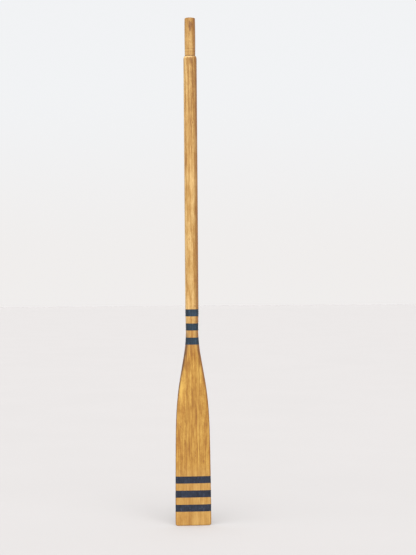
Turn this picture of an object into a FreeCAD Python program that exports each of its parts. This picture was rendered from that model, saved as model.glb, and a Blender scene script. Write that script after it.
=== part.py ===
"""A wooden rowing oar, 1.8 m long, standing on its blade tip.

The blade is glued up from three boards: the loom's own stave, which runs from the grip's shoulder
to the tip, and a cheek on each side of it. A turned grip is tenoned into the loom's upper end. Six
painted bands, three round the neck and three across the blade, are coats with a real thickness.

Frame: +Z up along the oar's axis, X across the blade, Y through its thickness. The origin is the
middle of the flat on the blade's tip. Millimetres.
"""
import FreeCAD, Part
import math
import os

# Driving dimensions
OAR_LENGTH = 1800.0
GRIP_LENGTH = 136.0
LOOM_RADIUS = 23.5
BAND_HEIGHT = 25.0
BAND_PITCH = 50.0
BLADE_BANDS_FROM = 50.0
NECK_BANDS_FROM = 642.5
BAND_NAMES = ("lower", "middle", "upper")
PAINT_THICKNESS = 0.3

# The loom's upper end: a rounded shoulder round the grip, and the socket bored for its tenon
SHOULDER_HEIGHT = OAR_LENGTH - GRIP_LENGTH
SHOULDER_ROUND_RADIAL = 2.0
SHOULDER_ROUND_AXIAL = 12.0
SOCKET_RADIUS = 12.05
SOCKET_DEPTH = 72.0

# The grip: its radius at the foot, at its belly and near the end, and its tenon
GRIP_FOOT_RADIUS = 18.5
GRIP_BELLY_RADIUS = 19.1
GRIP_BELLY_AT = 86.0
GRIP_END_RADIUS = 18.6
GRIP_END_ROUND = 3.0
TENON_RADIUS = 12.0
TENON_LENGTH = 70.0
TENON_CHAMFER = 2.0

# The blade: the glue planes are the sides of the loom's stave
GLUE_PLANE = LOOM_RADIUS
CHEEK_LIMIT = 700.0
TIP_HALF_WIDTH = 63.5
TIP_HALF_THICKNESS = 5.5
TIP_CORNER_RADIUS = 8.0
TIP_EDGE_ROUND = 4.0
TIP_SQUARENESS = 4.0
TIP_SECTIONS = 8

# Control sections of the blade and neck: height above the tip, half width, half thickness and
# squareness, which is 2 for a round section and more for one whose faces are flatter.
STATIONS = (
    (20.0, TIP_HALF_WIDTH, TIP_HALF_THICKNESS, TIP_SQUARENESS),
    (60.0, 63.3, 5.6, 3.9),
    (130.0, 62.8, 5.9, 3.8),
    (200.0, 62.2, 6.3, 3.7),
    (270.0, 61.4, 6.8, 3.6),
    (335.0, 60.4, 7.5, 3.4),
    (395.0, 58.4, 8.4, 3.2),
    (450.0, 54.3, 9.6, 3.0),
    (500.0, 47.9, 11.1, 2.8),
    (545.0, 40.0, 13.0, 2.6),
    (587.0, 32.8, 15.4, 2.4),
    (624.0, 26.5, 17.9, 2.2),
    (658.0, 23.0, 20.2, 2.1),
    (692.0, 21.7, 21.6, 2.0),
    (726.0, 22.5, 22.5, 2.0),
    (758.0, LOOM_RADIUS, LOOM_RADIUS, 2.0),
    (785.0, LOOM_RADIUS, LOOM_RADIUS, 2.0),
)
NECK_TOP = STATIONS[-1][0]
SECTION_POINTS = 40
JOIN_TOLERANCE = 0.005

CENTRE = FreeCAD.Vector(0, 0, 0)
UP = FreeCAD.Vector(0, 0, 1)


def vector(x, y, z):
    return FreeCAD.Vector(x, y, z)


def section(height, half_width, half_thickness, squareness):
    """The curve of one closed section, starting at the middle of its back."""
    points = []
    for i in range(SECTION_POINTS):
        turn = 2 * math.pi * i / SECTION_POINTS
        across = math.copysign(abs(math.sin(turn)) ** (2 / squareness), math.sin(turn))
        points.append(vector(-half_width * across, half_thickness * math.cos(turn), height))
    curve = Part.BSplineCurve()
    curve.interpolate(Points=points, PeriodicFlag=True, Parameters=list(range(SECTION_POINTS + 1)))
    return curve


def arc_end(half_size, radius, height):
    """The half size, at a height above the tip, of a shape whose lower corner is an arc."""
    below = max(radius - height, 0.0)
    return half_size - radius + math.sqrt(radius ** 2 - below ** 2)


def control_sections(grown):
    """Sections up the oar: the tip, whose corners and long edge end as arcs, then the stations."""
    sections = []
    for i in range(TIP_SECTIONS):
        height = TIP_CORNER_RADIUS * (1 - math.cos(math.pi / 2 * i / TIP_SECTIONS))
        half_width = arc_end(TIP_HALF_WIDTH, TIP_CORNER_RADIUS, height) + grown
        half_thickness = arc_end(TIP_HALF_THICKNESS, TIP_EDGE_ROUND, height) + grown
        sections.append(section(height, half_width, half_thickness, TIP_SQUARENESS))
    return sections + [section(z, w + grown, t + grown, s) for z, w, t, s in STATIONS]


def blade_and_neck(grown=0.0):
    """The blade and neck from the tip to the round of the loom, grown all round by a coat."""
    sections = control_sections(grown)
    around = sections[0]
    spans = len(sections) - around.Degree
    end_knot = around.Degree + 1
    surface = Part.BSplineSurface()
    surface.buildFromPolesMultsKnots(
        [curve.getPoles() for curve in sections],
        [end_knot] + [1] * (spans - 1) + [end_knot], around.getMultiplicities(),
        list(range(spans + 1)), around.getKnots(), False, True, around.Degree, around.Degree)
    caps = [Part.Face(Part.Wire(surface.uIso(end).toShape())) for end in (0, spans)]
    return Part.Solid(Part.Shell([surface.toShape()] + caps))


def slab(bottom, top):
    """Everything between two heights, wider than the oar."""
    reach = 2 * TIP_HALF_WIDTH
    return Part.makeBox(2 * reach, 2 * reach, top - bottom, vector(-reach, -reach, bottom))


def cheek_region(side):
    """The space outside one glue plane: side is 1 or -1."""
    reach = 2 * TIP_HALF_WIDTH
    low = min(side * GLUE_PLANE, side * reach)
    return Part.makeBox(reach - GLUE_PLANE, reach, CHEEK_LIMIT, vector(low, -reach / 2, 0))


def blade_cheek(blade, side):
    """One board glued to the side of the loom, from the tip to where it runs out at the neck."""
    return blade.common(cheek_region(side))


def socket():
    return Part.makeCylinder(SOCKET_RADIUS, SOCKET_DEPTH, vector(0, 0, SHOULDER_HEIGHT - SOCKET_DEPTH), UP)


def loom_shaft():
    """The round of the loom above the neck, with its rounded shoulder."""
    round_start = SHOULDER_HEIGHT - SHOULDER_ROUND_AXIAL
    shoulder_radius = LOOM_RADIUS - SHOULDER_ROUND_RADIAL
    round_radius = (SHOULDER_ROUND_AXIAL ** 2 + SHOULDER_ROUND_RADIAL ** 2) / (2 * SHOULDER_ROUND_RADIAL)
    half_turn = math.asin(SHOULDER_ROUND_AXIAL / round_radius) / 2
    middle = vector(LOOM_RADIUS - round_radius * (1 - math.cos(half_turn)), 0,
                    round_start + round_radius * math.sin(half_turn))
    profile = Part.Wire([
        Part.LineSegment(vector(0, 0, NECK_TOP), vector(LOOM_RADIUS, 0, NECK_TOP)).toShape(),
        Part.LineSegment(vector(LOOM_RADIUS, 0, NECK_TOP),
                         vector(LOOM_RADIUS, 0, round_start)).toShape(),
        Part.Arc(vector(LOOM_RADIUS, 0, round_start), middle,
                 vector(shoulder_radius, 0, SHOULDER_HEIGHT)).toShape(),
        Part.LineSegment(vector(shoulder_radius, 0, SHOULDER_HEIGHT),
                         vector(0, 0, SHOULDER_HEIGHT)).toShape(),
        Part.LineSegment(vector(0, 0, SHOULDER_HEIGHT), vector(0, 0, NECK_TOP)).toShape(),
    ])
    return Part.Face(profile).revolve(CENTRE, UP, 360)


def loom(blade):
    """The stave from the tip to the shoulder, with the grip's socket bored in its upper end."""
    core = blade.cut(cheek_region(1)).cut(cheek_region(-1))
    return core.fuse([loom_shaft()], JOIN_TOLERANCE).removeSplitter().cut(socket())


def grip():
    """The turned grip: a gentle belly, a rounded end, and a tenon below the shoulder."""
    foot = SHOULDER_HEIGHT
    top = OAR_LENGTH
    bottom = foot - TENON_LENGTH
    round_start = top - GRIP_END_ROUND
    side = Part.BSplineCurve()
    side.interpolate([vector(GRIP_FOOT_RADIUS, 0, foot), vector(GRIP_BELLY_RADIUS, 0, foot + GRIP_BELLY_AT),
                      vector(GRIP_END_RADIUS, 0, round_start)])
    end_flat = GRIP_END_RADIUS - GRIP_END_ROUND
    bend = GRIP_END_ROUND * math.sqrt(0.5)
    end_round = Part.Arc(vector(GRIP_END_RADIUS, 0, round_start),
                         vector(end_flat + bend, 0, round_start + bend), vector(end_flat, 0, top))
    corners = [(end_flat, top), (0, top), (0, bottom), (TENON_RADIUS - TENON_CHAMFER, bottom),
               (TENON_RADIUS, bottom + TENON_CHAMFER), (TENON_RADIUS, foot), (GRIP_FOOT_RADIUS, foot)]
    points = [vector(r, 0, z) for r, z in corners]
    edges = [side.toShape(), end_round.toShape()]
    edges += [Part.LineSegment(a, b).toShape() for a, b in zip(points, points[1:])]
    return Part.Face(Part.Wire(edges)).revolve(CENTRE, UP, 360)


def paint_band(coat, blade, bottom):
    """One coat of paint round the wood, with masked edges."""
    return coat.common(slab(bottom, bottom + BAND_HEIGHT)).cut(blade)


def main():
    os.makedirs("parts", exist_ok=True)
    blade = blade_and_neck()
    coat = blade_and_neck(PAINT_THICKNESS)
    nodes = {
        "grip": grip(),
        "loom": loom(blade),
        "blade_cheek_left": blade_cheek(blade, -1),
        "blade_cheek_right": blade_cheek(blade, 1),
    }
    for place, first in (("neck", NECK_BANDS_FROM), ("blade", BLADE_BANDS_FROM)):
        for step, name in enumerate(BAND_NAMES):
            nodes[f"{place}_band_{name}"] = paint_band(coat, blade, first + step * BAND_PITCH)
    for name, shape in nodes.items():
        print(f"{name}: {len(shape.Solids)} solid, valid {shape.isValid()}, {shape.Volume:.0f} mm3")
        shape.exportStep(f"parts/{name}.step")


main()
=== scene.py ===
"""The looks of a wooden rowing oar, modelled round its CAD frame and laid out as an add-on."""
import math

import bmesh
import bpy
from bpy.props import FloatProperty, FloatVectorProperty, IntProperty, PointerProperty
from mathutils import Matrix, Vector


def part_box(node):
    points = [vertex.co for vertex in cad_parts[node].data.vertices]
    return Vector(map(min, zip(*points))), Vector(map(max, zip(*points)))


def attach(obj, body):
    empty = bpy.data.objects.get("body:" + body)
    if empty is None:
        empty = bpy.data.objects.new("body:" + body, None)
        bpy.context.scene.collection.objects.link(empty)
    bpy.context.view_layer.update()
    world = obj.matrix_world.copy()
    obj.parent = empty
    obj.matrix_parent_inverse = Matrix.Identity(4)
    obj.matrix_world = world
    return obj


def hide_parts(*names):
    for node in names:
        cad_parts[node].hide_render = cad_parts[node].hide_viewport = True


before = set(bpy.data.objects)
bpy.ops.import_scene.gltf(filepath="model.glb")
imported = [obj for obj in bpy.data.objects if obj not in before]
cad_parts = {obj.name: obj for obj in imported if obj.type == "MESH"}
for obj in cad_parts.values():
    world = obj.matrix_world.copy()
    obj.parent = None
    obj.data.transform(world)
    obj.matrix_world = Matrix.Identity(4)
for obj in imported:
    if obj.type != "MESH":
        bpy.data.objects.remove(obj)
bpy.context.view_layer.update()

bl_info = {
    "name": "Rowing Oar",
    "version": (1, 0, 0),
    "blender": (4, 5, 0),
    "location": "3D View > Sidebar > Oar",
    "description": "Shapes and finishes a wooden rowing oar round its frame",
    "category": "Add Mesh",
}

BODY = "root"
MM = 0.001
NEAR = 0.005 * MM

# Places that come from the frame
LOOM_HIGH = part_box("loom")[1]
GRIP_LOW, GRIP_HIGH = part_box("grip")
CHEEK_LOW, CHEEK_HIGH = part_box("blade_cheek_right")
SHOULDER = LOOM_HIGH.z
LOOM_RADIUS = LOOM_HIGH.x
GLUE_PLANE = CHEEK_LOW.x
TIP_HALF_WIDTH = CHEEK_HIGH.x
NECK_HEIGHT = 692 * MM
BAND_PLACES = ("lower", "middle", "upper")

# The oar's shape
SECTION_SIDES = 40
TIP_HALF_THICKNESS = 5.5 * MM
TIP_CORNER_RADIUS = 8 * MM
TIP_EDGE_ROUND = 4 * MM
TIP_SQUARENESS = 4.0
TIP_SECTIONS = 8
SHOULDER_ROUND_RADIAL = 2 * MM
SHOULDER_ROUND_AXIAL = 12 * MM
SHOULDER_STEPS = 8
SHOULDER_EDGE_ROUND = 1 * MM
SHOULDER_EDGE_STEPS = 4
SOCKET_RADIUS = 12.05 * MM
SOCKET_DEPTH = 72 * MM

# The grip, measured up from its foot on the shoulder
GRIP_LENGTH = GRIP_HIGH.z - SHOULDER
TENON_RADIUS = 12 * MM
TENON_CHAMFER = 2 * MM
GRIP_FOOT_RADIUS = 18.5 * MM
GRIP_BELLY_RADIUS = 19.1 * MM
GRIP_BELLY_AT = 86 * MM
GRIP_END_RADIUS = 18.6 * MM
GRIP_END_ROUND = 3 * MM
GRIP_END_AT = GRIP_LENGTH - GRIP_END_ROUND
GRIP_END_STEPS = 8
GRIP_STEP = 4 * MM
GROOVES_AT = (16 * MM, 26 * MM)
GROOVE_HALF_WIDTH = 1.1 * MM

# How sharp a fold between faces still looks smooth
SMOOTH_ANGLE = math.radians(32)

# Where the middles of the two soft boxes lie, as seen from the oar, and how near to its middle, as a
# cosine, a box's light starts and is full
SIDE_BOX = Vector((-0.62, -0.48, 0.62)).normalized()
FRONT_BOX = Vector((0.03, -0.75, 0.66)).normalized()
BOX_STARTS, BOX_FULL = 0.84, 0.97

# How far up the air starts to brighten overhead, and where the horizon's colour ends, as sines
OVERHEAD_FROM = 0.45
HORIZON_TOP = 0.14

# The floor, in metres
FLOOR_RADIUS = 40
FLOOR_SIDES = 96

# Surfaces: gloss, the coat's share and roughness, and the full height of each relief
VARNISH = 0.08
COAT_ROUGHNESS = 0.32
PAINT_GLOSS = 0.25
FLOOR_GLOSS = 0.1
WOOD_RELIEF = 0.22 * MM
PAINT_RELIEF = 0.12 * MM
FLOOR_RELIEF = 0.1 * MM

# Growth rings: a year's width, how far the rings wander and the tone across one year
RING_WIDTH = 2.6 * MM
RING_WANDER = (12 * MM, 12 * MM, 0)
RING_TONES = ((0, 0.75), (0.12, 0.1), (0.6, 0.3), (0.94, 1))

# The wood's figure: lumps per metre across and along the grain, detail and roughness
FIGURE = {
    "fibre": (1100, 16, 3, 0.65),
    "line": (330, 6, 3, 0.6),
    "streak": (95, 6, 3, 0.6),
    "band": (38, 1.6, 2, 0.5),
    "mottle": (85, 30, 4, 0.65),
    "speckle": (230, 150, 2, 0.5),
    "cloud": (20, 8, 3, 0.55),
    "pore": (900, 45, 2, 0.5),
    "fleck": (260, 52, 3, 0.6),
    "wave": (45, 9, 2, 0.5),
}

# Tone runs from 0, dark, to 1, pale. Up to the calm height, which is that of the blade's bands, the
# wood is calmer and a little paler than from the lively height up.
START_TONE = 0.51
MIDDLE_TONE = 0.53
CALM_MIDDLE_TONE = 0.56
CALM_BELOW = 150 * MM
LIVELY_ABOVE = 230 * MM

# What the stain's colour is multiplied by on the blade and where the wood is warm; the last tints the
# amber of the painted shade down the right side
BLADE_TINT = (0.90, 0.80, 0.40)
WARM_TINT = (0.94, 0.80, 0.62)
RIGHT_SHADE_TINT = (0.95, 0.86, 0.60)

# A knot's grain leans by the slant and is bent out to so many of the knot's radii
KNOT_SLANT = 0.6
KNOT_REACH = 5

# How ragged the edge of a mark in the stain is
MARK_RAGGED = (10 * MM, 0, 45 * MM)

# Sections of the blade and neck, in millimetres: height above the tip, half width, half thickness
# and squareness, which is 2 for a round section and more for one whose faces are flatter.
STATIONS = (
    (20, 63.5, 5.5, 4.0),
    (60, 63.3, 5.6, 3.9),
    (130, 62.8, 5.9, 3.8),
    (200, 62.2, 6.3, 3.7),
    (270, 61.4, 6.8, 3.6),
    (335, 60.4, 7.5, 3.4),
    (395, 58.4, 8.4, 3.2),
    (450, 54.3, 9.6, 3.0),
    (500, 47.9, 11.1, 2.8),
    (545, 40.0, 13.0, 2.6),
    (587, 32.8, 15.4, 2.4),
    (624, 26.5, 17.9, 2.2),
    (658, 23.0, 20.2, 2.1),
    (692, 21.7, 21.6, 2.0),
    (726, 22.5, 22.5, 2.0),
    (758, 23.5, 23.5, 2.0),
    (785, 23.5, 23.5, 2.0),
)

# Knots, in millimetres: across, height and radius
LOOM_KNOTS = ((6, 1428, 2.6), (-9, 1015, 2.2), (8, 779, 3.0), (-4, 732, 1.8), (8, 247, 2.4))
CHEEK_KNOTS = {"left": ((-44, 352, 2.8),), "right": ((37, 228, 2.2),)}

# Marks in the stain, in millimetres: across, height, half width, half height and strength
LOOM_MARKS = ((-2, 540, 3.2, 90, -0.20), (-2, 455, 2.4, 45, -0.14), (-13, 570, 13, 19, -0.10),
              (21, 622, 3.5, 9, -0.50), (2, 1640, 8, 16, -0.14), (0, 880, 9, 120, 0.08),
              (8, 1250, 5, 110, 0.12), (0, 1390, 40, 260, 0.07), (0, 920, 12, 150, -0.05))
CHEEK_MARKS = {"left": ((-25, 570, 9, 19, -0.20), (-41, 478, 9, 38, 0.20)),
               "right": ((30, 542, 7, 40, 0.24), (45, 330, 8, 60, -0.14), (43, 110, 30, 130, 0.09))}
GRIP_MARKS = ((1, 1773, 7, 19, -0.35), (12, 1745, 8, 50, -0.12))

# How much paler the wood is above and below the shoulder, in millimetres above it and in tone: a
# painted highlight along its edge, painted shade in the corner at the grip's foot and in the turned
# lines, and darker towards the grip's end
# A turned line's painted shade, with a paler lip on each side
GROOVE_SHADE = ((-1.2, 0.10), (0, -0.22), (1.2, 0.10))
SHOULDER_SHADING_AND_WEAR = (
    (-8, 0.0), (-2, 0.40), (-0.2, 0.40), (0.2, -0.50), (1.5, -0.50), (4, 0.10),
    *((at / MM + away, amount) for at in GROOVES_AT for away, amount in GROOVE_SHADE),
    (60, 0.10), (95, 0.03), (128, -0.06), (136, -0.16))


class OarShape(bpy.types.PropertyGroup):
    """Sizes that a user may change without leaving the frame"""

    smoothing: IntProperty(
        name="Smoothing", description="How many times the blade's and loom's faces are divided",
        default=2, min=1, max=3)
    grip_sides: IntProperty(
        name="Grip sides", description="Faces round the turned grip", default=96, min=24, max=256)
    groove_depth: FloatProperty(
        name="Groove depth", description="Depth of the lines turned into the grip's foot",
        default=0.35 * MM, min=0.0, max=1.5 * MM, unit="LENGTH")
    paint_thickness: FloatProperty(
        name="Paint thickness", description="How far a painted band stands out of the wood",
        default=0.12 * MM, min=0.05 * MM, max=0.15 * MM, unit="LENGTH")


class OarFinish(bpy.types.PropertyGroup):
    """Colours of the wood's stain and of the paint"""

    umber: FloatVectorProperty(
        name="Umber", description="The darkest grain", subtype="COLOR", size=3, min=0, max=1,
        default=(0.085, 0.027, 0.005))
    amber: FloatVectorProperty(
        name="Amber", description="The darker part of a growth ring", subtype="COLOR", size=3,
        min=0, max=1, default=(0.262, 0.104, 0.012))
    honey: FloatVectorProperty(
        name="Honey", description="The stain's main tone", subtype="COLOR", size=3, min=0, max=1,
        default=(0.425, 0.224, 0.047))
    straw: FloatVectorProperty(
        name="Straw", description="The palest wood", subtype="COLOR", size=3, min=0, max=1,
        default=(0.660, 0.440, 0.170))
    rust: FloatVectorProperty(
        name="Rust", description="Reddish heartwood and chips", subtype="COLOR", size=3, min=0, max=1,
        default=(0.210, 0.062, 0.022))
    navy_blade: FloatVectorProperty(
        name="Blade navy", description="Paint across the blade", subtype="COLOR", size=3,
        min=0, max=1, default=(0.0155, 0.0200, 0.0335))
    navy_neck: FloatVectorProperty(
        name="Neck navy", description="Paint round the neck", subtype="COLOR", size=3,
        min=0, max=1, default=(0.0190, 0.0340, 0.0520))


class OarStage(bpy.types.PropertyGroup):
    """The camera, the air that gives the light and the floor"""

    distance: FloatProperty(
        name="Distance", description="How far the camera stands from the oar", default=5.11,
        min=0.5, unit="LENGTH")
    eye_height: FloatProperty(
        name="Eye height", description="The camera's height above the floor", default=0.8795,
        min=0.0, unit="LENGTH")
    side_angle: FloatProperty(
        name="Side angle", description="How far the camera stands to the left of square on",
        default=math.radians(4.2), subtype="ANGLE")
    aim_angle: FloatProperty(
        name="Aim angle", description="How far the camera looks to the right of the oar",
        default=math.radians(0.65), subtype="ANGLE")
    roll: FloatProperty(
        name="Roll", description="How far the camera leans", default=math.radians(0.43),
        subtype="ANGLE")
    lens: FloatProperty(
        name="Lens", description="Focal length", default=93.4, min=10, unit="CAMERA")
    floor_colour: FloatVectorProperty(
        name="Floor", description="The floor's colour", subtype="COLOR", size=3, min=0, max=1,
        default=(0.545, 0.521, 0.508))
    air_colour: FloatVectorProperty(
        name="Air", description="The pale surroundings", subtype="COLOR", size=3, min=0, max=1,
        default=(0.885, 0.895, 0.910))
    horizon_colour: FloatVectorProperty(
        name="Horizon", description="The surroundings where they meet the floor", subtype="COLOR",
        size=3, min=0, max=1, default=(0.872, 0.852, 0.842))
    overhead: FloatProperty(
        name="Overhead", description="How much brighter the air is overhead", default=0.15, min=0)
    side_light: FloatProperty(
        name="Side light", description="How much brighter the air is high on the left", default=1.9,
        min=0)
    front_light: FloatProperty(
        name="Front light", description="How much brighter the air is high in front", default=4.0,
        min=0)


# Mesh work

def edit(piece):
    """Makes one object the only selected one and opens its mesh."""
    bpy.ops.object.select_all(action="DESELECT")
    piece.select_set(True)
    bpy.context.view_layer.objects.active = piece
    bpy.ops.object.mode_set(mode="EDIT")


def close(piece):
    """Turns every face outwards and leaves the mesh."""
    bpy.ops.mesh.select_all(action="SELECT")
    bpy.ops.mesh.normals_make_consistent(inside=False)
    bpy.ops.mesh.select_all(action="DESELECT")
    bpy.ops.object.mode_set(mode="OBJECT")


def choose(piece, wanted, kind="VERT"):
    """Selects the vertices whose place is wanted, and what lies wholly between them."""
    bpy.ops.mesh.select_mode(type="VERT")
    bpy.ops.mesh.select_all(action="DESELECT")
    mesh = bmesh.from_edit_mesh(piece.data)
    for vertex in mesh.verts:
        vertex.select = wanted(vertex.co)
    mesh.select_flush(True)
    bmesh.update_edit_mesh(piece.data)
    bpy.ops.mesh.select_mode(type=kind)


def scale_about_axis(height, across, through):
    """Scales what is selected about a point on the oar's axis."""
    bpy.ops.transform.resize(value=(across, through, 1), center_override=(0, 0, height))


def cut(at, direction, keep_beyond=False, below=math.inf):
    """Cuts the mesh at a plane, drops one side and, where the plane runs along the oar, closes the
    wood that the cut lays open.
    """
    choose(bpy.context.active_object, lambda co: co.z < below)
    bpy.ops.mesh.bisect(plane_co=at, plane_no=direction, use_fill=direction[2] == 0, threshold=NEAR,
                        clear_outer=not keep_beyond, clear_inner=keep_beyond)


def apply_modifier(piece, kind, **settings):
    """Adds one modifier to a piece and applies it."""
    modifier = piece.modifiers.new(kind.title(), kind)
    for name, value in settings.items():
        setattr(modifier, name, value)
    bpy.ops.object.modifier_apply(modifier=modifier.name)


def arc_end(half_size, radius, height):
    """The half size, at a height above the tip, of a shape whose lower corner is an arc."""
    below = max(radius - height, 0.0)
    return half_size - radius + math.sqrt(radius ** 2 - below ** 2)


def sections():
    """The blank's sections up the oar: the rounded tip, then the stations."""
    for i in range(TIP_SECTIONS):
        height = TIP_CORNER_RADIUS * (1 - math.cos(math.pi / 2 * i / TIP_SECTIONS))
        yield (height, arc_end(TIP_HALF_WIDTH, TIP_CORNER_RADIUS, height),
               arc_end(TIP_HALF_THICKNESS, TIP_EDGE_ROUND, height), TIP_SQUARENESS)
    for height, half_width, half_thickness, squareness in STATIONS:
        yield height * MM, half_width * MM, half_thickness * MM, squareness


def shape_section(piece, blank_radius, height, half_width, half_thickness, squareness):
    """Presses one round ring of the blank to its section, a pair of columns at a time."""
    choose(piece, lambda co: abs(co.z - height) < NEAR)
    scale_about_axis(height, 1, half_thickness / blank_radius)
    for i in range(1, SECTION_SIDES // 4 + 1):
        across = math.sin(2 * math.pi * i / SECTION_SIDES)
        column = blank_radius * across
        choose(piece, lambda co: abs(co.z - height) < NEAR and abs(abs(co.x) - column) < NEAR)
        scale_about_axis(height, half_width * across ** (2 / squareness) / column, 1)


def blank():
    """The glued-up oar from the tip to below the shoulder, its top left open.

    Dividing the faces draws a round section in a little, so the blank is first made larger by as much.
    """
    top = SHOULDER - SHOULDER_ROUND_AXIAL
    drawn_in = (2 + math.cos(2 * math.pi / SECTION_SIDES)) / 3
    radius = LOOM_RADIUS
    bpy.ops.object.select_all(action="DESELECT")
    bpy.ops.mesh.primitive_cylinder_add(vertices=SECTION_SIDES, radius=radius, depth=top,
                                        location=(0, 0, top / 2))
    bpy.ops.object.transform_apply(location=True, rotation=True, scale=True)
    piece = bpy.context.active_object
    edit(piece)
    choose(piece, lambda co: co.z > top - NEAR, "FACE")
    bpy.ops.mesh.delete(type="ONLY_FACE")
    rings = list(sections())
    for height, *_ in rings[1:]:
        bpy.ops.mesh.select_all(action="SELECT")
        bpy.ops.mesh.bisect(plane_co=(0, 0, height), plane_no=(0, 0, 1), threshold=NEAR)
    for ring in rings:
        shape_section(piece, radius, *ring)
    bpy.ops.mesh.select_all(action="SELECT")
    scale_about_axis(0, 1 / drawn_in, 1 / drawn_in)
    bpy.ops.object.mode_set(mode="OBJECT")
    levels = bpy.context.scene.oar_shape.smoothing
    apply_modifier(piece, "SUBSURF", levels=levels, render_levels=levels)
    return piece


def shoulder_profile():
    """Height and radius up the shoulder's long rounding, its small top edge and its socket."""
    start = SHOULDER - SHOULDER_ROUND_AXIAL
    arc = (SHOULDER_ROUND_AXIAL ** 2 + SHOULDER_ROUND_RADIAL ** 2) / (2 * SHOULDER_ROUND_RADIAL)
    turn = math.asin((SHOULDER_ROUND_AXIAL - SHOULDER_EDGE_ROUND) / (arc - SHOULDER_EDGE_ROUND))
    for i in range(1, SHOULDER_STEPS + 1):
        angle = turn * i / SHOULDER_STEPS
        yield start + arc * math.sin(angle), LOOM_RADIUS - arc * (1 - math.cos(angle))
    edge_radius = LOOM_RADIUS - arc * (1 - math.cos(turn)) - SHOULDER_EDGE_ROUND * math.cos(turn)
    for i in range(1, SHOULDER_EDGE_STEPS + 1):
        angle = turn + (math.pi / 2 - turn) * i / SHOULDER_EDGE_STEPS
        yield (SHOULDER - SHOULDER_EDGE_ROUND * (1 - math.sin(angle)),
               edge_radius + SHOULDER_EDGE_ROUND * math.cos(angle))
    yield SHOULDER, SOCKET_RADIUS
    yield SHOULDER - SOCKET_DEPTH, SOCKET_RADIUS


def draw_profile(height, radius, profile):
    """Draws the selected ring along a turned profile."""
    for next_height, next_radius in profile:
        extrude_ring(height, radius, next_height, next_radius)
        height, radius = next_height, next_radius


def extrude_ring(height, radius, next_height, next_radius):
    """Draws the selected ring out to another height and radius."""
    bpy.ops.mesh.extrude_region_move(TRANSFORM_OT_translate={"value": (0, 0, next_height - height)})
    scale_about_axis(next_height, next_radius / radius, next_radius / radius)


def grip_radius(above_foot):
    """The grip's radius: an even curve through its foot, belly and end, with two turned lines."""
    rise = (GRIP_BELLY_RADIUS - GRIP_FOOT_RADIUS) / GRIP_BELLY_AT
    fall = (GRIP_END_RADIUS - GRIP_BELLY_RADIUS) / (GRIP_END_AT - GRIP_BELLY_AT)
    bend = (fall - rise) / GRIP_END_AT
    belly = above_foot * (rise + bend * (above_foot - GRIP_BELLY_AT))
    depth = bpy.context.scene.oar_shape.groove_depth
    turned = sum(max(0.0, 1 - abs(above_foot - at) / GROOVE_HALF_WIDTH) for at in GROOVES_AT)
    return GRIP_FOOT_RADIUS + belly - depth * turned


def grip_profile():
    """Height and radius up the tenon, the grip and its rounded end."""
    yield GRIP_LOW.z + TENON_CHAMFER, TENON_RADIUS
    yield SHOULDER, TENON_RADIUS
    steps = {i * GRIP_STEP for i in range(int(GRIP_END_AT / GRIP_STEP) + 1)}
    for at in GROOVES_AT:
        steps |= {at + GROOVE_HALF_WIDTH * share for share in (-1, -0.5, 0, 0.5, 1)}
    for height in sorted(steps | {GRIP_END_AT}):
        yield SHOULDER + height, grip_radius(height)
    for i in range(1, GRIP_END_STEPS + 1):
        angle = math.pi / 2 * i / GRIP_END_STEPS
        yield (GRIP_HIGH.z - GRIP_END_ROUND * (1 - math.sin(angle)),
               GRIP_END_RADIUS - GRIP_END_ROUND * (1 - math.cos(angle)))


def keep_piece(piece, name, material, slot, *nodes):
    """Names a finished piece, gives it its material and lets it stand for its CAD nodes."""
    bpy.ops.object.select_all(action="DESELECT")
    piece.select_set(True)
    bpy.context.view_layer.objects.active = piece
    bpy.ops.object.shade_smooth_by_angle(angle=SMOOTH_ANGLE)
    piece.name = name
    piece.data.name = name
    piece.data.materials.clear()
    piece.data.materials.append(material)
    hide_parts(*nodes)
    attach(piece, BODY)


# Materials

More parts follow.
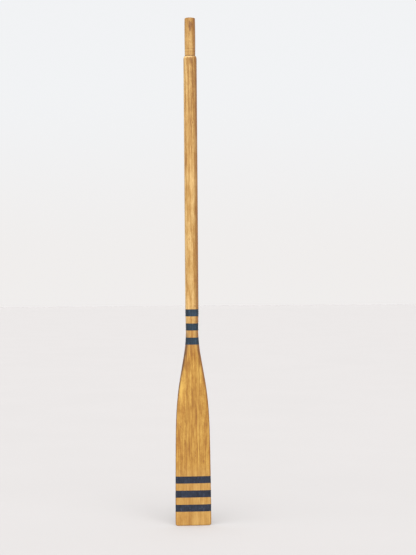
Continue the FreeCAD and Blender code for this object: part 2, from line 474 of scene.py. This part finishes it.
class Nodes:
    """Adds and links the nodes of one tree a step at a time."""

    def __init__(self, tree):
        self.tree = tree

    def add(self, kind, inputs=None, **settings):
        """Adds one node with its settings, and links or sets the given inputs."""
        node = self.tree.nodes.new(kind)
        for name, value in settings.items():
            setattr(node, name, value)
        for name, value in (inputs or {}).items():
            self.feed(node.inputs[name], value)
        return node

    def feed(self, socket, value):
        """Links another node's output to a socket, or sets the socket to a plain value."""
        if isinstance(value, bpy.types.NodeSocket):
            self.tree.links.new(value, socket)
        else:
            socket.default_value = value

    def math(self, operation, a, b=0.0, c=0.0):
        """One step of arithmetic on values."""
        return self.add("ShaderNodeMath", {0: a, 1: b, 2: c}, operation=operation).outputs[0]

    def vector(self, operation, a, b=(0, 0, 0), scale=1.0):
        """One step of arithmetic on vectors."""
        node = self.add("ShaderNodeVectorMath", {0: a, 1: b, 3: scale}, operation=operation)
        return node.outputs[0]

    def length(self, a):
        """A vector's length."""
        return self.add("ShaderNodeVectorMath", {0: a}, operation="LENGTH").outputs["Value"]

    def axes(self, value):
        """A vector's three parts."""
        return self.add("ShaderNodeSeparateXYZ", {0: value}).outputs

    def span(self, value, low, high, to_low=0.0, to_high=1.0, smooth=True):
        """Carries a value from one span to another, held at both ends."""
        node = self.add("ShaderNodeMapRange", {0: value, 1: low, 2: high, 3: to_low, 4: to_high},
                        interpolation_type="SMOOTHSTEP" if smooth else "LINEAR")
        return node.outputs[0]

    def ramp_along(self, value, steps):
        """A value that runs in straight lines through the given places, in metres, and amounts."""
        total = steps[0][1]
        for (place, amount), (next_place, next_amount) in zip(steps, steps[1:]):
            rise = self.span(value, place, next_place, 0.0, next_amount - amount, smooth=False)
            total = self.math("ADD", total, rise)
        return total

    def blend(self, factor, a, b, mode="MIX"):
        """Mixes two colours, or multiplies one by the other."""
        node = self.add("ShaderNodeMix", data_type="RGBA", blend_type=mode)
        for socket, value in ((0, factor), (6, solid(a)), (7, solid(b))):
            self.feed(node.inputs[socket], value)
        return node.outputs[2]

    def ramp(self, value, stops):
        """Turns a value into a colour that runs through the given stops."""
        node = self.add("ShaderNodeValToRGB", {0: value})
        elements = node.color_ramp.elements
        while len(elements) < len(stops):
            elements.new(0.5)
        for element, (position, colour) in zip(elements, stops):
            element.position = position
            element.color = solid(colour)
        return node.outputs[0]


class Finish(Nodes):
    """One material, whose nodes start from the place on the piece."""

    def __init__(self, name):
        self.material = bpy.data.materials.new(name)
        self.material.use_nodes = True
        super().__init__(self.material.node_tree)
        self.shader = self.tree.nodes["Principled BSDF"]
        self.place = self.add("ShaderNodeTexCoord").outputs["Object"]

    def noise(self, stretch, detail=2.0, roughness=0.5, at=None, output="Fac"):
        """Noise whose lumps have the given count per metre along each axis."""
        place = self.vector("MULTIPLY", at or self.place, stretch)
        node = self.add("ShaderNodeTexNoise", {"Vector": place, "Scale": 1.0, "Detail": detail,
                                               "Roughness": roughness})
        return node.outputs[output]

    def surface(self, colour, roughness, height, relief, coat=0.0, gloss=0.5):
        """Sets the look of the surface; the relief is the height's full range, in metres."""
        self.feed(self.shader.inputs["Base Color"], colour)
        self.feed(self.shader.inputs["Roughness"], roughness)
        self.feed(self.shader.inputs["Specular IOR Level"], gloss)
        self.feed(self.shader.inputs["Coat Weight"], coat)
        self.feed(self.shader.inputs["Coat Roughness"], COAT_ROUGHNESS)
        bump = self.add("ShaderNodeBump", {"Strength": 1.0, "Distance": relief, "Height": height})
        self.feed(self.shader.inputs["Normal"], bump.outputs[0])


def solid(colour):
    """A plain colour with its fourth part, or a socket as it is."""
    return colour if isinstance(colour, bpy.types.NodeSocket) else (*colour[:3], 1)


def times(colour, amounts):
    """A colour whose three parts are each made stronger or weaker."""
    return [part * amount for part, amount in zip(colour, amounts)]


def grey(value):
    """The same value three times over."""
    return (value, value, value)


def sum_of(m, start, terms):
    """Adds weighted values, each taken about its middle, to a starting value."""
    for value, weight in terms:
        start = m.math("MULTIPLY_ADD", m.math("SUBTRACT", value, 0.5), weight, start)
    return start


def grow_knots(m, knots):
    """Bends the grain round each knot; gives the bent place and how far inside a knot a point is."""
    place, depth = m.place, 0.0
    for x, z, radius in knots:
        radius = radius * MM
        offset = m.vector("SUBTRACT", m.place, (x * MM, 0, z * MM))
        offset = m.vector("MULTIPLY", offset, (1 / radius, 0, KNOT_SLANT / radius))
        reach = m.length(offset)
        push = m.span(reach, 0.6, KNOT_REACH, radius, 0.0)
        away = m.vector("SCALE", m.vector("NORMALIZE", offset), scale=push)
        place = m.vector("SUBTRACT", place, away)
        depth = m.math("MAXIMUM", depth, m.span(reach, 1.1, 0.5))
    return place, depth


def mark(m, tone, marks):
    """Darkens or pales the wood in ragged marks on the oar's front."""
    ragged = m.vector("SUBTRACT", m.noise((120, 120, 26), 3, 0.6, output="Color"), grey(0.5))
    ragged = m.vector("ADD", m.place, m.vector("MULTIPLY", ragged, MARK_RAGGED))
    front = m.span(m.axes(m.place)[1], 2 * MM, -2 * MM)
    for x, z, half_width, half_height, strength in marks:
        offset = m.vector("SUBTRACT", ragged, (x * MM, 0, z * MM))
        offset = m.vector("MULTIPLY", offset, (1 / (half_width * MM), 0, 1 / (half_height * MM)))
        inside = m.math("MULTIPLY", m.span(m.length(offset), 1.25, 0.45), front)
        tone = m.math("MULTIPLY_ADD", inside, strength, tone)
    return tone


def late_wood(m, place, own, pith, lean):
    """The dark late wood of each year, in rings round a pith that lies beside the piece."""
    centred = m.add("ShaderNodeMapping", {"Vector": place, "Location": pith, "Rotation": lean})
    wander = m.vector("SUBTRACT", m.noise((9, 9, 1.5), 2, 0.5, own, "Color"), grey(0.5))
    centred = m.vector("ADD", centred.outputs[0], m.vector("MULTIPLY", wander, RING_WANDER))
    distance = m.length(m.vector("MULTIPLY", centred, (1, 1, 0)))
    years = m.math("MULTIPLY", distance, 1 / RING_WIDTH)
    spacing = m.add("ShaderNodeTexNoise",
                    {"W": m.math("MULTIPLY", years, 0.6), "Scale": 1.0, "Detail": 1.0},
                    noise_dimensions="1D").outputs[0]
    years = m.math("MULTIPLY_ADD", spacing, 2.2, years)
    late = m.ramp(m.math("FRACT", years), [(share, grey(tone)) for share, tone in RING_TONES])
    boldness = m.span(m.noise((14, 14, 2.5), 1, 0.5, own), 0.35, 0.65, 0.25, 1.0)
    return m.math("MULTIPLY", late, boldness)


def above_bands(m, low, high):
    """A value that changes from low to high above the blade's bands."""
    return m.span(m.axes(m.place)[2], CALM_BELOW, LIVELY_ABOVE, low, high)


def wood_tone(m, grain, bold, marks):
    """How pale the wood is, from its figure, its marks, its wear and the painted highlight and shade
    round the shoulder.
    """
    tone = sum_of(m, START_TONE, (
        (grain["late"], -0.38), (grain["fibre"], 0.46), (grain["line"], 0.36),
        (grain["streak"], 0.90 * bold), (grain["band"], 0.34 * bold),
        (grain["mottle"], 0.95 * bold), (grain["cloud"], 0.40 * bold), (grain["speckle"], 0.24)))
    tone = m.math("MULTIPLY_ADD", m.math("SUBTRACT", tone, MIDDLE_TONE), above_bands(m, 0.5, 1.0),
                  above_bands(m, CALM_MIDDLE_TONE, MIDDLE_TONE))
    tone = mark(m, tone, marks)
    tone = m.math("MULTIPLY_ADD", grain["pore"], -0.16, tone)
    tone = m.math("MULTIPLY_ADD", grain["fleck"], 0.20, tone)
    normal_z = m.axes(m.add("ShaderNodeNewGeometry").outputs["Normal"])[2]
    end_grain = m.span(m.math("ABSOLUTE", normal_z), 0.75, 0.98)
    tone = m.math("MULTIPLY_ADD", end_grain, -0.14, tone)
    # Painted highlight on the shoulder's edge, and painted shade at the grip's foot and in its turned
    # lines
    shoulder_shading = [(SHOULDER + place * MM, amount) for place, amount in SHOULDER_SHADING_AND_WEAR]
    return m.math("ADD", tone, m.ramp_along(m.axes(m.place)[2], shoulder_shading))


def glue_line(m):
    """The thin dark line where a cheek meets the loom's stave."""
    x, _, z = m.axes(m.place)
    away = m.math("ABSOLUTE", m.math("SUBTRACT", m.math("ABSOLUTE", x), GLUE_PLANE))
    return m.math("MULTIPLY", m.span(away, 0.5 * MM, 0.15 * MM, 0.0, 0.45),
                  m.span(z, CHEEK_HIGH.z + 2 * MM, CHEEK_HIGH.z - 5 * MM))


def stain(m, tone, own, mottle, joint, knot):
    """The wood's colour: deeper on the blade, with painted shade on its edges and down its right side,
    and dark in its joints and in knots.
    """
    colours = bpy.context.scene.oar_finish
    z = m.axes(m.place)[2]
    normal_x = m.axes(m.add("ShaderNodeNewGeometry").outputs["Normal"])[0]
    colour = m.ramp(tone, [(0.0, colours.umber), (0.30, colours.amber), (0.58, colours.honey),
                           (0.95, colours.straw)])

    on_blade = m.span(z, NECK_HEIGHT, CHEEK_HIGH.z - 60 * MM)
    on_blade = m.math("MULTIPLY", on_blade, above_bands(m, 0.5, 1.0))
    colour = m.blend(on_blade, colour, BLADE_TINT, "MULTIPLY")
    warm = m.noise((30, 30, 5), 3, 0.6, m.vector("ADD", own, grey(5.0)))
    colour = m.blend(m.span(warm, 0.45, 0.75, 0.0, 0.45), colour, WARM_TINT, "MULTIPLY")

    # Painted shade on the blade's edges and the neck's sides: darker umber where the surface turns
    # sideways
    edge_shade = m.math("MULTIPLY", m.span(m.math("ABSOLUTE", normal_x), 0.33, 0.76),
                  m.span(z, 720 * MM, 640 * MM))
    uneven = m.span(m.noise((60, 60, 30), 2, 0.5, own), 0.3, 0.6, 0.6, 0.95)
    colour = m.blend(m.math("MULTIPLY", edge_shade, uneven), colour, colours.umber)
    # Painted shade down the right side: darker and deeper in colour where the surface faces +X, as if
    # lit from the left
    right_side_shade = m.math("MULTIPLY", m.span(normal_x, 0.15, 0.92),
                        m.span(mottle, 0.25, 0.7, 1.0, 0.75))
    colour = m.blend(right_side_shade, colour, times(colours.amber, RIGHT_SHADE_TINT))
    colour = m.blend(joint, colour, colours.umber)
    return m.blend(m.math("MULTIPLY", knot, 0.5), colour, colours.rust)


def wood(name, pith, lean, shift, bold=1.0, fineness=1.0, run=1.0, knots=(), marks=()):
    """Stained softwood: growth rings, fibres, pores, knots, uneven stain, wear, painted shade and
    highlight, and a thin varnish.
    """
    m = Finish(name)
    place, knot = grow_knots(m, knots)
    own = m.vector("MULTIPLY", m.vector("ADD", place, shift), (fineness, fineness, 1 / run))
    grain = {part: m.noise((across, across, along), detail, roughness, own)
             for part, (across, along, detail, roughness) in FIGURE.items()}
    grain["pore"] = m.span(grain["pore"], 0.66, 0.74)
    grain["fleck"] = m.span(grain["fleck"], 0.70, 0.76)
    grain["late"] = late_wood(m, place, own, pith, lean)
    joint = glue_line(m)
    tone = wood_tone(m, grain, bold, marks)
    colour = stain(m, tone, own, grain["mottle"], joint, knot)
    height = sum_of(m, 0.5, ((grain["fibre"], 0.35), (grain["late"], 0.2), (grain["line"], 0.25),
                             (grain["wave"], 1.2)))
    height = m.math("MULTIPLY_ADD", grain["pore"], -0.30, height)
    height = m.math("MULTIPLY_ADD", joint, -0.25, height)
    roughness = sum_of(m, 0.50, ((grain["fibre"], 0.20), (grain["mottle"], 0.25)))
    m.surface(colour, roughness, height, WOOD_RELIEF, VARNISH)
    return m.material


def paint(name, colour):
    """Brushed navy paint: brush marks round the oar, the grain showing through, scuffs, and painted
    shade on its sides.
    """
    m = Finish(name)
    brush = m.noise((40, 40, 900), 3, 0.6)
    line = m.noise((330, 330, 4.5), 3, 0.6)
    cloud = m.noise((55, 55, 40), 3, 0.6)
    tone = sum_of(m, 0.5, ((brush, 0.5), (line, 0.7), (cloud, 1.0)))
    shade = m.ramp(tone, [(0.25, times(colour, grey(0.6))), (0.75, times(colour, grey(1.5)))])
    scuff = m.span(m.noise((150, 150, 90), 4, 0.65), 0.54, 0.70, 0.0, 0.6)
    shade = m.blend(scuff, shade, times(colour, grey(3.0)))
    normal_x = m.axes(m.add("ShaderNodeNewGeometry").outputs["Normal"])[0]
    # Painted shade: the paint is darker where its surface turns sideways
    side = m.span(m.math("ABSOLUTE", normal_x), 0.45, 0.95, 0.0, 0.55)
    shade = m.blend(side, shade, times(colour, grey(0.35)))
    height = sum_of(m, 0.5, ((line, 0.5), (brush, 0.4)))
    roughness = sum_of(m, 0.56, ((cloud, 0.3), (brush, 0.15)))
    m.surface(shade, roughness, height, PAINT_RELIEF, gloss=PAINT_GLOSS)
    return m.material


# Pieces

class OAR_OT_loom(bpy.types.Operator):
    """Shapes the loom's stave, from the grip's shoulder to the blade's tip"""

    bl_idname = "oar.loom"
    bl_label = "Loom"

    def execute(self, context):
        piece = blank()
        edit(piece)
        cut((GLUE_PLANE, 0, 0), (1, 0, 0), below=NECK_HEIGHT)
        cut((-GLUE_PLANE, 0, 0), (-1, 0, 0), below=NECK_HEIGHT)
        start = SHOULDER - SHOULDER_ROUND_AXIAL
        choose(piece, lambda co: co.z > start - NEAR)
        draw_profile(start, LOOM_RADIUS, shoulder_profile())
        bpy.ops.mesh.edge_face_add()
        close(piece)
        material = wood("loom_wood", (0.085, -0.030, 0), (0.006, 0.010, 0), (0, 0, 0), run=1.7,
                        knots=LOOM_KNOTS, marks=LOOM_MARKS)
        keep_piece(piece, "loom_stave", material, "loom_wood", "loom")
        return {"FINISHED"}


class OAR_OT_cheeks(bpy.types.Operator):
    """Shapes the board glued to each side of the loom to widen the blade"""

    bl_idname = "oar.cheeks"
    bl_label = "Blade cheeks"

    def execute(self, context):
        for name, side in (("left", -1), ("right", 1)):
            piece = blank()
            edit(piece)
            cut((0, 0, NECK_HEIGHT), (0, 0, 1))
            cut((side * GLUE_PLANE, 0, 0), (side, 0, 0), keep_beyond=True)
            close(piece)
            material = wood(f"cheek_wood_{name}", (-side * 0.11, 0.05, 0), (0.008, 0, 0),
                            (side * 1.7, 0.4, side * 0.9), bold=0.8, fineness=0.75, run=0.95,
                            knots=CHEEK_KNOTS[name], marks=CHEEK_MARKS[name])
            keep_piece(piece, f"cheek_{name}", material, "cheek_wood", f"blade_cheek_{name}")
        return {"FINISHED"}


class OAR_OT_grip(bpy.types.Operator):
    """Turns the grip, with its tenon, its slight belly, its two turned lines and its rounded end"""

    bl_idname = "oar.grip"
    bl_label = "Grip"

    def execute(self, context):
        bpy.ops.object.select_all(action="DESELECT")
        height, radius = GRIP_LOW.z, TENON_RADIUS - TENON_CHAMFER
        bpy.ops.mesh.primitive_circle_add(vertices=context.scene.oar_shape.grip_sides, radius=radius,
                                          fill_type="NGON", location=(0, 0, height))
        bpy.ops.object.transform_apply(location=True, rotation=True, scale=True)
        piece = context.active_object
        edit(piece)
        bpy.ops.mesh.select_all(action="SELECT")
        draw_profile(height, radius, grip_profile())
        close(piece)
        material = wood("grip_wood", (0.050, -0.020, 0), (0.01, 0, 0), (3.1, 2.2, 0), bold=0.5,
                        marks=GRIP_MARKS)
        keep_piece(piece, "grip_turned", material, "grip_wood", "grip")
        return {"FINISHED"}


class OAR_OT_bands(bpy.types.Operator):
    """Paints three bands round the neck and three across the blade"""

    bl_idname = "oar.bands"
    bl_label = "Painted bands"

    def execute(self, context):
        finish = context.scene.oar_finish
        for part, colour in (("neck", finish.navy_neck), ("blade", finish.navy_blade)):
            material = paint(f"{part}_paint", colour)
            for place in BAND_PLACES:
                low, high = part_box(f"{part}_band_{place}")
                piece = blank()
                edit(piece)
                cut((0, 0, high.z), (0, 0, 1))
                cut((0, 0, low.z), (0, 0, 1), keep_beyond=True)
                bpy.ops.object.mode_set(mode="OBJECT")
                apply_modifier(piece, "SOLIDIFY", thickness=context.scene.oar_shape.paint_thickness,
                               offset=1.0, use_even_offset=True)
                keep_piece(piece, f"{part}_paint_{place}", material, "band_paint",
                           f"{part}_band_{place}")
        return {"FINISHED"}


class OAR_OT_stage(bpy.types.Operator):
    """Sets the floor, the pale air that lights it all and the camera"""

    bl_idname = "oar.stage"
    bl_label = "Stage"

    def execute(self, context):
        stage = context.scene.oar_stage
        lay_floor(stage)
        light_air(stage)
        place_camera(stage)
        context.scene.view_settings.view_transform = "Standard"
        return {"FINISHED"}


def lay_floor(stage):
    """A wide, plain, pale floor."""
    bpy.ops.object.select_all(action="DESELECT")
    bpy.ops.mesh.primitive_circle_add(vertices=FLOOR_SIDES, radius=FLOOR_RADIUS, fill_type="NGON")
    floor = bpy.context.active_object
    floor.name = "floor"
    m = Finish("floor_finish")
    cloud = m.noise((1.5, 1.5, 1.5), 2, 0.5)
    colour = m.ramp(cloud, [(0.3, times(stage.floor_colour, grey(0.985))), (0.7, stage.floor_colour)])
    m.surface(colour, 1.0, cloud, FLOOR_RELIEF, gloss=FLOOR_GLOSS)
    floor.data.materials.append(m.material)


def light_air(stage):
    """Pale air all round, brighter overhead, with a soft box high on the left and one in front."""
    world = bpy.data.worlds.new("pale_air")
    world.use_nodes = True
    air = Nodes(world.node_tree)
    direction = air.add("ShaderNodeTexCoord").outputs["Generated"]
    height = air.axes(direction)[2]
    strength = air.math("ADD", air.span(height, OVERHEAD_FROM, 1.0, 0.0, stage.overhead), 1.0)
    for side, brightness in ((SIDE_BOX, stage.side_light), (FRONT_BOX, stage.front_light)):
        facing = air.add("ShaderNodeVectorMath", {0: direction, 1: side}, operation="DOT_PRODUCT")
        box = air.span(facing.outputs["Value"], BOX_STARTS, BOX_FULL, 0.0, brightness)
        strength = air.math("ADD", strength, box)
    above_floor = air.span(height, 0.0, HORIZON_TOP)
    colour = air.blend(above_floor, stage.horizon_colour, stage.air_colour)
    background = world.node_tree.nodes["Background"]
    air.feed(background.inputs["Color"], colour)
    air.feed(background.inputs["Strength"], strength)
    bpy.context.scene.world = world


def place_camera(stage):
    """A level camera to the left of square on, leaning by a hair."""
    lens = bpy.data.cameras.new("camera")
    lens.lens = stage.lens
    camera = bpy.data.objects.new("camera", lens)
    camera.location = (-stage.distance * math.sin(stage.side_angle),
                       -stage.distance * math.cos(stage.side_angle), stage.eye_height)
    heading = -(stage.side_angle + stage.aim_angle)
    turn = Matrix.Rotation(heading, 3, "Z")
    level = Matrix.Rotation(math.radians(90), 3, "X")
    roll = Matrix.Rotation(-stage.roll, 3, "Z")
    camera.rotation_euler = (turn @ level @ roll).to_euler()
    bpy.context.scene.collection.objects.link(camera)
    bpy.context.scene.camera = camera


class OAR_PT_panel(bpy.types.Panel):
    """Lists the oar's pieces and its settings"""

    bl_idname = "OAR_PT_panel"
    bl_label = "Rowing Oar"
    bl_space_type = "VIEW_3D"
    bl_region_type = "UI"
    bl_category = "Oar"

    def draw(self, context):
        for settings in (context.scene.oar_shape, context.scene.oar_finish, context.scene.oar_stage):
            box = self.layout.box()
            for name in settings.__annotations__:
                box.prop(settings, name)
        for step in STEPS:
            self.layout.operator(step.bl_idname)


STEPS = (OAR_OT_stage, OAR_OT_loom, OAR_OT_cheeks, OAR_OT_grip, OAR_OT_bands)
SETTINGS = {"oar_shape": OarShape, "oar_finish": OarFinish, "oar_stage": OarStage}


def register():
    for kind in (*SETTINGS.values(), *STEPS, OAR_PT_panel):
        bpy.utils.register_class(kind)
    for name, kind in SETTINGS.items():
        setattr(bpy.types.Scene, name, PointerProperty(type=kind))


def unregister():
    for name in SETTINGS:
        delattr(bpy.types.Scene, name)
    for kind in (OAR_PT_panel, *reversed(STEPS), *reversed(SETTINGS.values())):
        bpy.utils.unregister_class(kind)


def main():
    """Clears the start-up objects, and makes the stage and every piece."""
    for name in ("Cube", "Light", "Camera"):
        if name in bpy.data.objects:
            bpy.data.objects.remove(bpy.data.objects[name])
    register()
    bpy.ops.oar.stage()
    bpy.ops.oar.loom()
    bpy.ops.oar.cheeks()
    bpy.ops.oar.grip()
    bpy.ops.oar.bands()


if __name__ == "__main__":
    main()
